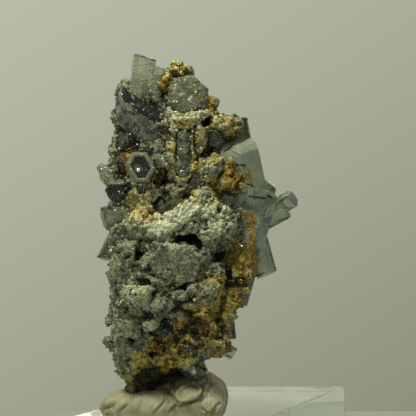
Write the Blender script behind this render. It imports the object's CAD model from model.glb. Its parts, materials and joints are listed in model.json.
"""Looks of the aquamarine specimen: rock grains, crusts, crystal faces, putty, clear block, light, camera.

Lengths are in millimetres until a mesh is filled, and the mesh is in metres. Positions on the specimen
are measured from its seat, as in the part's source: X to the right, Y away from the display side, Z up.
"""

import sys

import itertools
import json
import logging
import math
from collections.abc import Callable
from dataclasses import dataclass
from enum import Enum

import bmesh
import bpy
import numpy as np
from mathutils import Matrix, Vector
from mathutils.bvhtree import BVHTree

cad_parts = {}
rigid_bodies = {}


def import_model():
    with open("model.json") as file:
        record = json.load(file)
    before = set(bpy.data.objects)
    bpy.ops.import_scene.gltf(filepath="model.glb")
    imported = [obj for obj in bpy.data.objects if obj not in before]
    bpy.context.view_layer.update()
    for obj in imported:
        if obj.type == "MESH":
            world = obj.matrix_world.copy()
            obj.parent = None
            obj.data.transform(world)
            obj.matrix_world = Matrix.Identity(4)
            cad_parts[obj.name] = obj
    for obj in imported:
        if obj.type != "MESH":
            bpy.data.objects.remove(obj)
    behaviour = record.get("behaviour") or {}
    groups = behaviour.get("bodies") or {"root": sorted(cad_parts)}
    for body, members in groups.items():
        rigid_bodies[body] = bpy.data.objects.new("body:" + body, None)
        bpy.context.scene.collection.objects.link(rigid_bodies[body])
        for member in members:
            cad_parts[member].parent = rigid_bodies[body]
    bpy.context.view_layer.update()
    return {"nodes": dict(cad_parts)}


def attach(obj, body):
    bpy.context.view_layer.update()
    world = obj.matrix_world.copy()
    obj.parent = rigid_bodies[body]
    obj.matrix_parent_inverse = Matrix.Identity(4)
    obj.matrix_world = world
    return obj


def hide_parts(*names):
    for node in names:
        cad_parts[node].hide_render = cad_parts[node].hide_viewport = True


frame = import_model()
LOG = logging.getLogger("specimen")
Socket = bpy.types.NodeSocket

MM = 0.001
SEAT = np.array((-8.8, -21.5, 15.0))
PIECE_TRIANGLES = 190_000
SECOND_FACING = 0.45


def srgb(colour: str, alpha: float = 1.0) -> tuple[float, float, float, float]:
    """Turns a hex colour such as #a0b0c0 to linear values.

    Args:
        colour: The sRGB colour.
        alpha: The fourth value.

    Returns:
        Linear red, green and blue, and the alpha.
    """
    parts = [int(colour[i : i + 2], 16) / 255 for i in (1, 3, 5)]
    return (*(c / 12.92 if c <= 0.04045 else ((c + 0.055) / 1.055) ** 2.4 for c in parts), alpha)


def add_node(
    tree: bpy.types.NodeTree, kind: str, settings: dict | None = None, links: dict | None = None
) -> bpy.types.Node:
    """Adds a node to the tree.

    Args:
        tree: The material's or world's nodes.
        kind: The node's type name.
        settings: Values by socket name or number, or by property name. "stops" gives a ramp's stops.
        links: Output sockets by the name or number of the input that each feeds.

    Returns:
        The new node.
    """
    node = tree.nodes.new(kind)
    plain = {k: v for k, v in (settings or {}).items() if k != "stops" and isinstance(k, str)}
    for key, value in plain.items():
        if key not in node.inputs:
            setattr(node, key, value)
    for key, value in (settings or {}).items():
        if isinstance(key, int) or key in node.inputs:
            node.inputs[key].default_value = value
    for index, (place, value) in enumerate((settings or {}).get("stops", ())):
        stops = node.color_ramp.elements
        stop = stops[index] if index < 2 else stops.new(place)
        stop.position = place
        stop.color = value
    for key, source in (links or {}).items():
        tree.links.new(source, node.inputs[key])
    return node


@dataclass
class Paint:
    """The nodes of one material or of the backdrop, added by what they do."""

    tree: bpy.types.NodeTree

    def step(self, kind: str, settings: dict, values: dict, output: int | str = 0) -> Socket:
        """Adds a node whose inputs are plain values or other nodes' outputs.

        Args:
            kind: The node's type name.
            settings: Values by property name.
            values: Plain values and output sockets by the input's name or number.
            output: The name or number of the output to give back.

        Returns:
            The output socket.
        """
        links = {key: value for key, value in values.items() if isinstance(value, Socket)}
        plain = {key: value for key, value in values.items() if key not in links}
        return add_node(self.tree, kind, settings | plain, links).outputs[output]

    def place(self, kind: str = "Object") -> Socket:
        """The piece's own coordinates, or another kind of them."""
        return self.step("ShaderNodeTexCoord", {}, {}, kind)

    def stored(self, name: str, output: str = "Fac") -> Socket:
        """What the mesh stores under that name for each vertex."""
        return self.step("ShaderNodeAttribute", {"attribute_name": name}, {}, output)

    def noise(
        self, size: float, place: Socket, detail: float = 2.0, roughness: float = 0.5, swirl: float = 0.0
    ) -> Socket:
        """Noise from 0 to 1.

        Args:
            size: How wide its blobs are, in millimetres.
            place: The coordinates.
            detail: How many finer layers it has.
            roughness: How strong the finer layers are.
            swirl: How twisted it is.

        Returns:
            The output socket.
        """
        values = {"Scale": 1 / (size * MM), "Detail": detail, "Roughness": roughness, "Distortion": swirl}
        return self.step("ShaderNodeTexNoise", {}, {"Vector": place, **values}, "Fac")

    def ramp(self, value: Socket, *stops: tuple[float, str]) -> Socket:
        """Colours that follow the value, each stop a place and its colour."""
        colours = [(where, srgb(colour)) for where, colour in stops]
        return self.step("ShaderNodeValToRGB", {"stops": colours}, {"Fac": value}, "Color")

    def ranged(self, value: Socket, old: tuple, new: tuple = (0, 1)) -> Socket:
        """Maps the value from the old range to the new one, and keeps it there."""
        ends = {"From Min": old[0], "From Max": old[1], "To Min": new[0], "To Max": new[1]}
        return self.step("ShaderNodeMapRange", {}, {"Value": value, **ends})

    def maths(self, operation: str, *values: Socket | float) -> Socket:
        """Works out one number from the values."""
        return self.step("ShaderNodeMath", {"operation": operation}, dict(enumerate(values)))

    def along(self, way: Socket, axis: tuple) -> Socket:
        """How far the way goes along the axis."""
        return self.step("ShaderNodeVectorMath", {"operation": "DOT_PRODUCT"}, {0: way, 1: axis}, "Value")

    def mix(self, share: Socket, low: Socket | str, high: Socket | str) -> Socket:
        """Goes from the low colour to the high one as the share goes from 0 to 1."""
        ends = [srgb(colour) if isinstance(colour, str) else colour for colour in (low, high)]
        return self.step("ShaderNodeMix", {"data_type": "RGBA"}, {0: share, 6: ends[0], 7: ends[1]}, 2)

    def bump(self, height: Socket, strength: float, depth: float) -> Socket:
        """A normal roughened by the height, at most that deep in millimetres."""
        values = {"Height": height, "Strength": strength, "Distance": depth * MM}
        return self.step("ShaderNodeBump", {}, values)

    def feed(self, name: str, values: dict) -> None:
        """Gives the named node's inputs their plain values or links.

        Args:
            name: The node.
            values: Plain values and output sockets by the input's name.
        """
        for key, value in values.items():
            socket = self.tree.nodes[name].inputs[key]
            if isinstance(value, Socket):
                self.tree.links.new(value, socket)
            else:
                socket.default_value = value

    def dress(self, values: dict) -> None:
        """Gives the Principled shader's inputs their plain values or links, by their names."""
        self.feed("Principled BSDF", values)

    def absorb(self, colour: str, density: float) -> None:
        """Lets the material soak up light on its way through, all but that colour."""
        volume = self.step("ShaderNodeVolumeAbsorption", {}, {"Color": srgb(colour), "Density": density})
        self.feed("Material Output", {"Volume": volume})


def new_material(name: str) -> tuple[bpy.types.Material, Paint]:
    """Makes a material with a bare Principled shader.

    Args:
        name: What the real material is.

    Returns:
        The material and its nodes.
    """
    material = bpy.data.materials.new(name)
    material.use_nodes = True
    return material, Paint(material.node_tree)


def hashed(cells: np.ndarray, salt: int) -> np.ndarray:
    """Gives each grid cell a fixed random number from -1 to 1.

    Args:
        cells: Whole numbers, three to a row.
        salt: Picks another set of numbers.

    Returns:
        One number a row.
    """
    mixed = (cells[:, 0] * 73856093) ^ (cells[:, 1] * 19349663) ^ (cells[:, 2] * 83492791)
    mixed = (mixed ^ (salt * 2654435761)) * 1274126177
    mixed = ((mixed >> 15) ^ mixed) * 668265263
    return ((mixed >> 11) & 0xFFFFF) / 0x7FFFF - 1


def clouds(points: np.ndarray, size: float, salt: int) -> np.ndarray:
    """Smooth noise from -1 to 1.

    Args:
        points: Places in millimetres.
        size: How wide its blobs are, in millimetres.
        salt: Picks another pattern.

    Returns:
        One number a point.
    """
    cell = points / size + salt * 7.31
    base = np.floor(cell).astype(np.int64)
    part = cell - base
    part = part * part * (3 - 2 * part)
    total = np.zeros(len(points))
    for corner in itertools.product((0, 1), repeat=3):
        weight = np.prod(np.where(corner, part, 1 - part), axis=1)
        total += weight * hashed(base + np.array(corner), salt)
    return total


def facets(points: np.ndarray, size: float, salt: int) -> np.ndarray:
    """How far a broken skin stands out: each cell of it is one tilted flat face.

    Args:
        points: Places in millimetres.
        size: How wide a face is, in millimetres.
        salt: Picks another pattern.

    Returns:
        A height of about -1 to 1 for each point.
    """
    cell = points / size
    base = np.floor(cell).astype(np.int64)
    best = np.full(len(points), np.inf)
    height = np.zeros(len(points))
    for step in itertools.product((-1, 0, 1), repeat=3):
        corner = base + np.array(step)
        jitter = np.stack([hashed(corner, salt + i) for i in range(3)], axis=1)
        offset = cell - (corner + 0.5 + 0.45 * jitter)
        away = (offset**2).sum(axis=1)
        tilt = np.stack([hashed(corner, salt + 10 + i) for i in range(3)], axis=1)
        value = 1.2 * (offset * tilt).sum(axis=1) + 0.5 * hashed(corner, salt + 20)
        height = np.where(away < best, value, height)
        best = np.minimum(away, best)
    return height


def soft_step(value: np.ndarray) -> np.ndarray:
    """Eases values from 0 to 1, and keeps them between."""
    held = np.clip(value, 0, 1)
    return held * held * (3 - 2 * held)


@dataclass(frozen=True)
class Layer:
    """One layer of an uneven skin: how far it stands out, how wide its shapes are, and its pattern."""

    height: float
    size: float
    salt: int

    def wavy(self, points: np.ndarray) -> np.ndarray:
        """How far smooth waves stand out at the points."""
        return self.height * clouds(points, self.size, self.salt)

    def broken(self, points: np.ndarray) -> np.ndarray:
        """How far tilted flat faces stand out at the points."""
        return self.height * facets(points, self.size, self.salt)


class StainKind(Enum):
    """What colours the rock in one place."""

    RUST = 1
    OCHRE = 2
    CREAM = 3
    SOOT = 4


@dataclass(frozen=True)
class Stain:
    """One stained or clean patch of the rock: its middle, its radius and its strength.

    One that is over lies on the crystals there as a crust too.
    """

    x: float
    y: float
    z: float
    radius: float
    kind: StainKind
    strength: float
    over: bool = False


RUST, OCHRE, CREAM, SOOT = StainKind.RUST, StainKind.OCHRE, StainKind.CREAM, StainKind.SOOT
STAINS = (
    Stain(-0.6, -6, 78.4, 1.2, RUST, 1.0),
    Stain(10.8, -4, 72.9, 2.5, RUST, 1.0),
    Stain(8.6, -9.4, 75.0, 0.8, OCHRE, 0.4, True),
    Stain(8.8, -9, 64.0, 1.4, RUST, 0.9),
    Stain(-8.4, -7, 62.9, 1.5, RUST, 0.9),
    Stain(-8.9, -7, 57.8, 1.5, RUST, 0.9),
    Stain(-1.4, -9, 57.0, 2.3, RUST, 0.8),
    Stain(-2.9, -9, 46.6, 1.5, RUST, 1.0),
    Stain(10.9, -11, 49.0, 0.8, RUST, 1.0),
    Stain(11.7, -11, 50.2, 0.8, RUST, 1.0),
    Stain(16.6, -9, 55.0, 1.6, RUST, 0.6),
    Stain(8.6, -10, 22.0, 1.8, RUST, 0.7),
    Stain(13.0, -8, 17.4, 2.0, RUST, 0.7),
    Stain(0.5, -9, 20.4, 1.6, RUST, 0.7),
    Stain(-1.2, -12, 27.4, 0.7, RUST, 0.9),
    Stain(-6.2, -7, 8.6, 3.0, OCHRE, 0.6),
    Stain(-2.0, -6, 8.4, 4.0, SOOT, 0.9),
    Stain(0.9, -6, 79.6, 2.6, OCHRE, 0.9),
    Stain(3.2, -4, 81.8, 2.4, OCHRE, 0.9),
    Stain(7.0, -9, 64.0, 7.0, OCHRE, 0.38),
    Stain(-5.0, -9, 50.0, 4.0, OCHRE, 0.35),
    Stain(8.0, -9, 54.0, 4.0, OCHRE, 0.4),
    Stain(14.2, -6, 68.4, 2.9, OCHRE, 0.75),
    Stain(17.0, -6, 66.4, 1.9, OCHRE, 1.0),
    Stain(11.0, -9, 66.4, 2.2, OCHRE, 0.5),
    Stain(10.4, -9, 60.6, 2.4, OCHRE, 0.5),
    Stain(16.2, -9, 56.6, 3.1, OCHRE, 0.95),
    Stain(15.0, -9, 55.6, 2.0, SOOT, 0.12),
    Stain(3.0, -10, 57.6, 4.2, CREAM, 0.4),
    Stain(9.6, -10, 60.0, 3.4, CREAM, 0.45),
    Stain(19.3, -9, 57.0, 1.3, OCHRE, 1.0, True),
    Stain(12.4, -10, 52.6, 2.2, OCHRE, 0.6),
    Stain(-5.6, -9, 46.8, 2.4, OCHRE, 0.5),
    Stain(20.4, -9, 47.2, 1.5, OCHRE, 1.0, True),
    Stain(21.2, -9, 44.0, 1.9, OCHRE, 1.0, True),
    Stain(20.6, -9, 40.6, 2.2, OCHRE, 1.0, True),
    Stain(18.4, -9, 36.8, 3.6, OCHRE, 1.0, True),
    Stain(17.4, -9, 32.2, 3.0, OCHRE, 1.0, True),
    Stain(16.6, -9, 28.6, 2.8, OCHRE, 0.9, True),
    Stain(10.6, -11, 31.2, 3.2, OCHRE, 0.8),
    Stain(12.8, -11, 26.6, 3.0, OCHRE, 0.8),
    Stain(8.2, -11, 26.4, 3.0, OCHRE, 0.6),
    Stain(10.8, -10, 23.0, 3.9, OCHRE, 0.85),
    Stain(4.2, -11, 21.4, 2.2, OCHRE, 0.7),
    Stain(-4.6, -11, 15.0, 2.4, OCHRE, 0.6),
    Stain(-6.6, -10, 25.0, 3.4, OCHRE, 0.25),
    Stain(12.8, -8, 18.0, 3.6, OCHRE, 0.9),
    Stain(7.0, -10, 18.6, 3.0, OCHRE, 0.7),
    Stain(1.4, -9, 15.6, 4.6, OCHRE, 0.9),
    Stain(-4.6, -8, 12.6, 3.2, OCHRE, 0.8),
    Stain(3.8, -12, 47.6, 6.0, CREAM, 0.8),
    Stain(-3.1, -11, 43.1, 3.2, CREAM, 0.6),
    Stain(11.9, -11, 46.9, 3.7, CREAM, 0.8),
    Stain(4.8, -10, 69.6, 3.8, CREAM, 0.7),
    Stain(13.4, -7, 69.6, 2.4, CREAM, 0.8),
    Stain(1.6, -10, 63.4, 1.6, CREAM, 0.6),
    Stain(-0.9, -10, 60.2, 1.5, CREAM, 0.7),
    Stain(9.8, -10, 57.8, 2.2, CREAM, 0.6),
    Stain(-5.8, -10, 46.6, 2.9, CREAM, 0.8),
    Stain(-5.4, -14, 29.9, 2.8, CREAM, 0.9),
    Stain(-1.8, -13, 27.0, 1.4, CREAM, 0.8),
    Stain(-2.5, -13, 22.6, 1.7, CREAM, 0.9),
    Stain(-8.0, -11, 38.5, 1.7, CREAM, 0.7),
    Stain(-10.6, -8, 34.4, 1.8, CREAM, 0.6),
    Stain(-12.5, -2, 77.4, 1.9, CREAM, 0.3),
    Stain(2.6, -3, 82.0, 2.2, CREAM, 0.8),
    Stain(-0.6, -6, 79.6, 1.6, CREAM, 0.7),
    # The far side and the flanks, which go on as the display side does.
    Stain(-12.0, 3, 64.0, 3.0, RUST, 0.7),
    Stain(-4.0, 12, 56.0, 4.0, RUST, 0.7),
    Stain(8.0, 12, 68.0, 3.0, RUST, 0.8),
    Stain(10.0, 12, 40.0, 3.0, RUST, 0.8),
    Stain(-6.0, 12, 22.0, 3.0, RUST, 0.8),
    Stain(9.0, 12, 66.0, 5.0, OCHRE, 0.8),
    Stain(10.0, 12, 38.0, 5.5, OCHRE, 0.8),
    Stain(-6.0, 12, 20.0, 6.0, OCHRE, 0.9),
    Stain(8.0, 10, 16.0, 5.0, OCHRE, 0.8),
    Stain(16.0, 4, 24.0, 4.0, OCHRE, 0.8),
    Stain(-12.0, 4, 40.0, 3.5, OCHRE, 0.5),
    Stain(0.0, 12, 42.0, 5.0, CREAM, 0.8),
    Stain(3.0, 12, 30.0, 4.0, CREAM, 0.7),
    Stain(-8.0, 11, 36.0, 4.0, CREAM, 0.6),
    Stain(-2.0, 9, 72.0, 4.0, CREAM, 0.7),
    Stain(14.0, 8, 48.0, 3.0, CREAM, 0.6),
    Stain(1.0, 12, 50.0, 2.6, SOOT, 0.9),
    Stain(-2.4, 12, 34.0, 2.2, SOOT, 0.9),
    Stain(3.0, 10, 62.0, 2.2, SOOT, 0.9),
    # Soot in the hollows of the display side and round the foot.
    Stain(-11.0, -4, 76.7, 1.1, SOOT, 0.9),
    Stain(0.0, 4, 8.0, 4.4, SOOT, 0.9),
    Stain(3.6, -7, 8.8, 3.2, SOOT, 0.85),
    Stain(-5.4, -7, 6.8, 2.8, SOOT, 0.75),
    Stain(-12.6, -4, 75.2, 2.4, SOOT, 0.55),
    Stain(-0.8, -7, 75.6, 1.3, SOOT, 1.0),
    Stain(9.4, -10, 23.0, 6.5, SOOT, 0.24),
    Stain(-9.5, -8, 27.0, 2.2, SOOT, 0.35),
    Stain(-7.5, -10, 24.0, 1.2, SOOT, 0.6),
    Stain(-10.5, -7, 30.5, 1.5, SOOT, 0.4),
    Stain(-3.5, -8, 11.0, 3.0, SOOT, 0.3),
    Stain(17.0, -9, 31.0, 3.0, SOOT, 0.2),
)


@dataclass(frozen=True)
class Form:
    """A ledge, block or pit of the display side.

    It has a middle, half sizes across and up, and a turn in degrees. It stands out by rise, and by lean
    more at its right and upper edges. Calm evens out the broken skin on it, and dark blackens it.
    """

    x: float
    z: float
    across: float
    up: float
    turn: float
    rise: float
    lean: tuple = (0.0, 0.0)
    calm: float = 0.0
    dark: float = 0.0


FORMS = (
    # The even panel in the middle, the bright ledge over it and the joint under it.
    Form(2.9, 36.0, 5.2, 4.2, -14, 0.3, (0.2, 1.0), 0.7),
    Form(1.9, 47.6, 6.6, 3.2, 33, 0.5, (0.0, -1.2), 0.4),
    Form(3.8, 31.0, 4.8, 0.3, 20, -1.1, dark=0.7),
    # Cavities and slots.
    Form(5.5, 42.3, 1.7, 0.8, -5, -2.4, dark=1.0),
    Form(7.1, 41.3, 1.6, 0.8, -15, -1.1, dark=0.6),
    Form(-2.5, 42.0, 0.9, 0.6, 0, -1.2, dark=0.7),
    Form(-5.4, 39.6, 0.75, 2.0, -8, -2.0, dark=0.9),
    Form(-8.0, 38.0, 0.4, 0.4, 0, -1.2, dark=1.0),
    Form(-4.4, 32.1, 1.6, 0.9, 0, -1.6, dark=0.75),
    Form(-2.0, 30.4, 0.6, 1.3, 0, -1.5, dark=0.9),
    Form(1.9, 31.3, 1.1, 0.5, 10, -1.3, dark=0.9),
    Form(-9.0, 26.7, 1.8, 0.25, 18, -1.2, dark=1.0),
    Form(-3.8, 24.7, 1.1, 1.2, 0, -1.7, dark=0.95),
    Form(-4.7, 21.4, 0.5, 1.5, 0, -1.5, dark=0.9),
    Form(12.9, 37.8, 1.7, 1.3, 0, -1.3, dark=0.8),
    Form(15.0, 34.0, 0.5, 2.6, 10, -1.1, dark=0.7),
    Form(13.6, 27.6, 0.6, 1.6, 0, -1.0, dark=0.7),
    Form(6.6, 29.0, 1.2, 0.5, 30, -0.9, dark=0.8),
    Form(5.4, 22.4, 0.9, 0.6, 0, -1.0, dark=0.8),
    Form(9.8, 20.4, 0.7, 0.7, 0, -1.0, dark=0.9),
    Form(3.0, 18.6, 0.8, 0.5, 0, -0.9, dark=0.7),
    Form(-0.4, 8.8, 5.0, 2.0, 12, -1.0, dark=0.9),
    Form(9.8, 69.3, 0.9, 0.9, 35, -1.6, dark=0.9),
    Form(9.4, 62.0, 1.1, 0.8, 20, -1.9, dark=1.0),
    Form(-1.2, 75.4, 1.6, 1.4, 0, -2.4, dark=1.0),
    Form(-10.3, 69.3, 0.5, 0.5, 0, -1.2, dark=1.0),
    Form(-10.2, 66.3, 1.0, 3.0, 0, -1.2, dark=0.9),
    Form(-6.0, 65.4, 0.8, 0.8, 0, -1.6, dark=1.0),
    Form(-1.4, 56.6, 1.9, 1.8, 0, -1.8, dark=0.75),
    Form(-0.8, 51.2, 1.5, 0.5, 38, -1.0, dark=0.5),
    Form(7.8, 59.6, 0.25, 2.4, 0, -1.0, dark=0.8),
    Form(1.3, 66.4, 0.25, 2.6, 0, -1.0, dark=0.8),
    Form(7.2, 65.2, 0.25, 2.6, 0, -1.0, dark=0.7),
    Form(13.0, 56.6, 0.4, 1.8, -30, -1.2, dark=0.8),
    # Blocks and knobs.
    Form(-7.9, 38.8, 1.3, 1.6, 0, 0.7),
    Form(-10.6, 34.4, 1.2, 2.6, 0, 0.6, (-0.2, -0.3)),
    Form(-5.4, 29.9, 2.8, 1.5, -12, 1.2, (0.2, -0.6), 0.9),
    Form(-1.7, 27.0, 1.2, 1.1, 25, 1.0, (0.0, -0.4), 0.9),
    Form(-2.5, 22.7, 1.6, 1.2, 12, 1.2, (0.1, -0.5), 0.9),
    Form(-8.0, 21.8, 2.8, 2.2, 0, 0.8, (0.0, -0.3), 0.7),
    Form(-8.6, 16.6, 2.0, 1.4, -20, 0.6, (0.0, -0.3), 0.5),
    Form(10.2, 36.2, 1.1, 1.2, 15, -0.4, (0.3, 0.3), 1.0, 0.4),
    Form(11.4, 30.8, 2.2, 1.6, -15, 0.8, (0.0, -0.4), 0.3),
    Form(8.6, 25.6, 1.8, 1.2, 10, 0.7, (0.0, -0.4), 0.3),
    Form(12.4, 21.6, 1.8, 1.6, 0, 0.7, (0.0, -0.4), 0.3),
    Form(18.2, 36.4, 2.6, 3.2, 0, 0.4, (0.0, -0.2), 0.7),
    Form(5.0, 69.9, 3.4, 1.1, 0, 1.1, (0.0, -0.5), 0.2),
    Form(13.6, 69.2, 2.5, 1.3, -8, 0.9, (0.0, -0.4), 0.2),
    Form(15.6, 55.8, 2.0, 1.8, 0, 0.4, (0.0, -0.4)),
    Form(-0.9, 60.2, 1.3, 1.3, 0, 0.8),
    Form(1.8, 62.8, 0.9, 3.2, 0, 0.5, calm=0.5),
    Form(8.4, 66.4, 0.8, 2.4, 0, 0.5, calm=0.5),
    Form(-5.6, 46.5, 2.9, 1.9, 0, 0.9, (0.0, -0.4)),
    Form(2.6, 81.2, 2.1, 0.9, 0, 0.6),
    Form(-0.7, 78.7, 1.4, 1.8, 0, 0.6),
    Form(10.8, 72.9, 1.4, 2.2, 0, 0.6),
)


def stain(points: np.ndarray, kind: StainKind, over: bool = False) -> np.ndarray:
    """How strongly stains of one kind cover the points, with ragged edges.

    Args:
        points: Places in millimetres from the seat.
        kind: The kind of stain.
        over: Whether only those that lie over crystals count.

    Returns:
        A share from 0 to 1 for each point.
    """
    ragged = points.copy()
    swing = 0.6 if kind is SOOT else 1.0
    for axis in range(3):
        broad = 1.5 * clouds(points, 2.6, 31 + axis)
        ragged[:, axis] += swing * (broad + 0.7 * clouds(points, 0.9, 41 + axis))
    cover = np.zeros(len(points))
    for spot in STAINS:
        if spot.kind is kind and (spot.over or not over):
            offset = (ragged - np.array((spot.x, spot.y, spot.z))) * np.array((1, 0.7, 1))
            away = np.sqrt((offset**2).sum(axis=1)) / spot.radius
            edge = 0.35 if kind is SOOT else 0.7
            cover = np.maximum(cover, spot.strength * soft_step((1.15 + edge / 2 - away) / edge))
    return cover


def deselect_all() -> None:
    """Leaves object mode with nothing selected."""
    if bpy.context.object and bpy.context.object.mode != "OBJECT":
        bpy.ops.object.mode_set(mode="OBJECT")
    bpy.ops.object.select_all(action="DESELECT")


def activate(obj: bpy.types.Object) -> None:
    """Makes the object the only selected one."""
    deselect_all()
    obj.select_set(True)
    bpy.context.view_layer.objects.active = obj


def edit_all(obj: bpy.types.Object) -> None:
    """Selects all of the object's mesh in edit mode."""
    activate(obj)
    bpy.ops.object.mode_set(mode="EDIT")
    bpy.ops.mesh.select_all(action="SELECT")


def apply_modifier(obj: bpy.types.Object, kind: str, **settings: object) -> None:
    """Adds a modifier with the settings and applies it.

    Args:
        obj: The object.
        kind: The modifier's type.
        settings: Its property values.
    """
    activate(obj)
    modifier = obj.modifiers.new(kind.lower(), kind)
    for key, value in settings.items():
        setattr(modifier, key, value)
    bpy.ops.object.modifier_apply(modifier=modifier.name)


def copy_of_node(node: str, name: str) -> bpy.types.Object:
    """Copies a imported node's mesh as a closed mesh of its own.

    Args:
        node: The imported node.
        name: The copy's name.

    Returns:
        The copy, at the origin.
    """
    mesh = frame["nodes"][node].data.copy()
    mesh.name = name
    obj = bpy.data.objects.new(name, mesh)
    bpy.context.scene.collection.objects.link(obj)
    obj.data.materials.clear()
    edit_all(obj)
    bpy.ops.mesh.remove_doubles(threshold=0.002 * MM)
    bpy.ops.object.mode_set(mode="OBJECT")
    return obj


def vertex_places(obj: bpy.types.Object) -> np.ndarray:
    """The mesh's vertices, in millimetres from the seat."""
    flat = np.empty(len(obj.data.vertices) * 3)
    obj.data.vertices.foreach_get("co", flat)
    return flat.reshape(-1, 3) / MM - SEAT


def vertex_normals(obj: bpy.types.Object) -> np.ndarray:
    """The mesh's vertex normals."""
    flat = np.empty(len(obj.data.vertices) * 3)
    obj.data.vertex_normals.foreach_get("vector", flat)
    return flat.reshape(-1, 3)


def move_vertices(obj: bpy.types.Object, places: np.ndarray) -> None:
    """Puts the mesh's vertices at those places, in millimetres from the seat."""
    obj.data.vertices.foreach_set("co", ((places + SEAT) * MM).ravel())
    obj.data.update()


def set_shares(mesh: bpy.types.Mesh, name: str, values: np.ndarray) -> None:
    """Stores one number a vertex for the materials to read."""
    layer = mesh.attributes.new(name, "FLOAT", "POINT")
    layer.data.foreach_set("value", values.astype(np.float32))


def surface_of(objs: list[bpy.types.Object]) -> BVHTree:
    """The surface of several meshes, for rays and distances in millimetres from the seat."""
    points: list = []
    faces: list = []
    for obj in objs:
        start = len(points)
        points.extend(map(tuple, vertex_places(obj)))
        faces.extend(tuple(start + v for v in face.vertices) for face in obj.data.polygons)
    return BVHTree.FromPolygons(points, faces)


def faces_something(surface: BVHTree, points: np.ndarray, normals: np.ndarray, reach: float) -> np.ndarray:
    """Whether each point looks straight at the surface from close by, as the wall of a socket does.

    Args:
        surface: What it may look at.
        points: The points.
        normals: Which way each looks.
        reach: How far it looks, in millimetres.

    Returns:
        True or False for each point.
    """
    found = np.zeros(len(points), dtype=bool)
    for index, (point, normal) in enumerate(zip(points, normals)):
        found[index] = surface.ray_cast(Vector(point - normal * 0.02), Vector(normal), reach)[0] is not None
    return found


def nearness(surface: BVHTree, points: np.ndarray, reach: float) -> np.ndarray:
    """The distance from each point to the surface, or the reach where it is farther."""
    away = np.full(len(points), reach)
    for index, point in enumerate(points):
        found = surface.find_nearest(Vector(point), reach)
        if found[0] is not None:
            away[index] = found[3]
    return away


@dataclass
class Sites:
    """Places on a skin where grains may sit: points, which way each faces, and the nearest vertex."""

    points: np.ndarray
    normals: np.ndarray
    vertices: np.ndarray

    def kept(self, keep: np.ndarray) -> "Sites":
        """The sites for which keep is true."""
        return Sites(self.points[keep], self.normals[keep], self.vertices[keep])


def joined(found: list[Sites]) -> Sites:
    """Several meshes' sites in one."""
    return Sites(
        np.concatenate([sites.points for sites in found]),
        np.concatenate([sites.normals for sites in found]),
        np.concatenate([sites.vertices for sites in found]),
    )


def scatter(obj: bpy.types.Object, per_square: float, chance: np.random.Generator) -> Sites:
    """Picks random places on a mesh.

    Args:
        obj: The mesh.
        per_square: How many on a square millimetre.
        chance: The random numbers.

    Returns:
        The sites.
    """
    mesh = obj.data
    mesh.calc_loop_triangles()
    corners = np.empty(len(mesh.loop_triangles) * 3, dtype=np.int32)
    mesh.loop_triangles.foreach_get("vertices", corners)
    corners = corners.reshape(-1, 3)
    triangles = vertex_places(obj)[corners]
    cross = np.cross(triangles[:, 1] - triangles[:, 0], triangles[:, 2] - triangles[:, 0])
    doubled = np.linalg.norm(cross, axis=1)
    total = doubled.sum() / 2
    picked = chance.choice(len(triangles), int(total * per_square), p=doubled / doubled.sum())
    a = np.sqrt(chance.random(len(picked)))[:, None]
    b = chance.random(len(picked))[:, None]
    chosen = triangles[picked]
    weights = np.concatenate((1 - a, a * (1 - b), a * b), axis=1)
    points = (chosen * weights[:, :, None]).sum(axis=1)
    nearest = corners[picked, weights.argmax(axis=1)]
    return Sites(points, cross[picked] / doubled[picked][:, None], nearest)


def random_turns(count: int, chance: np.random.Generator) -> np.ndarray:
    """Gives that many random rotation matrices."""
    q = chance.normal(size=(count, 4))
    w, x, y, z = (q / np.linalg.norm(q, axis=1)[:, None]).T
    rows = (
        (1 - 2 * (y * y + z * z), 2 * (x * y - z * w), 2 * (x * z + y * w)),
        (2 * (x * y + z * w), 1 - 2 * (x * x + z * z), 2 * (y * z - x * w)),
        (2 * (x * z - y * w), 2 * (y * z + x * w), 1 - 2 * (x * x + y * y)),
    )
    return np.stack([np.stack(row, axis=1) for row in rows], axis=1)


@dataclass
class Template:
    """One small shape that is copied many times: its corners and its triangles."""

    corners: np.ndarray
    triangles: np.ndarray


def start_template(add: Callable, **sizes: float) -> None:
    """Adds a small shape and selects all of it in edit mode."""
    deselect_all()
    add(**sizes)
    bpy.ops.object.mode_set(mode="EDIT")
    bpy.ops.mesh.select_all(action="SELECT")


def take_template() -> Template:
    """Leaves edit mode, reads the shape's mesh as a template, and removes the shape."""
    bpy.ops.object.mode_set(mode="OBJECT")
    obj = bpy.context.object
    apply_modifier(obj, "TRIANGULATE")
    corners = np.array([tuple(vert.co) for vert in obj.data.vertices])
    triangles = np.array([tuple(face.vertices) for face in obj.data.polygons])
    bpy.data.objects.remove(obj, do_unlink=True)
    return Template(corners, triangles)


def bisect_away(point: tuple, normal: tuple) -> None:
    """Cuts off what lies beyond the plane, in edit mode, and closes the cut."""
    bpy.ops.mesh.select_all(action="SELECT")
    bpy.ops.mesh.bisect(plane_co=point, plane_no=normal, use_fill=True, clear_outer=True)


def block_templates(chance: np.random.Generator, count: int) -> list[Template]:
    """Blocky albite grains: a skewed cube of unit size, one in four with a corner broken off.

    Args:
        chance: The random numbers.
        count: How many different ones.

    Returns:
        The templates.
    """
    made = []
    for index in range(count):
        start_template(bpy.ops.mesh.primitive_cube_add, size=1.0)
        bpy.ops.transform.vertex_random(offset=0.13, seed=int(chance.integers(1, 99)))
        if index % 4 == 1:
            normal = np.sign(chance.normal(size=3)) / math.sqrt(3)
            bisect_away(tuple(normal * chance.uniform(0.4, 0.55)), tuple(normal))
        made.append(take_template())
    return made


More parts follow.
